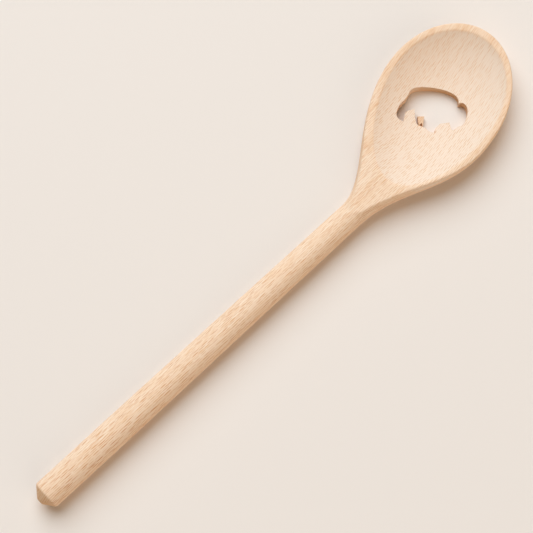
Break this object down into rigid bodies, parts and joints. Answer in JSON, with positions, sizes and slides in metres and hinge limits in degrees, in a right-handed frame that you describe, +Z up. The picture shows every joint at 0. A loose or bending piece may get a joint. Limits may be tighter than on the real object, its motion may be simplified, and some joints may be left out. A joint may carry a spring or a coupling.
{
  "type": "cooking spoon",
  "caption": "Beech cooking spoon with a round tapered handle and a shallow flat-rimmed bowl, turned a little to the left and pierced with a standing animal.",
  "frame": {"origin": "on the table, under the middle of the spoon's bounding box", "axes": "+X along the handle towards the bowl, +Y to the left of it, +Z up out of the bowl"},
  "size_m": [0.3, 0.0632, 0.0136],
  "materials": {
    "head_beech": "sanded bare beech",
    "handle_beech": "turned and sanded bare beech"
  },
  "bodies": {
    "root": {"bowl_head": "head_beech", "handle": "handle_beech"}
  },
  "joints": []
}
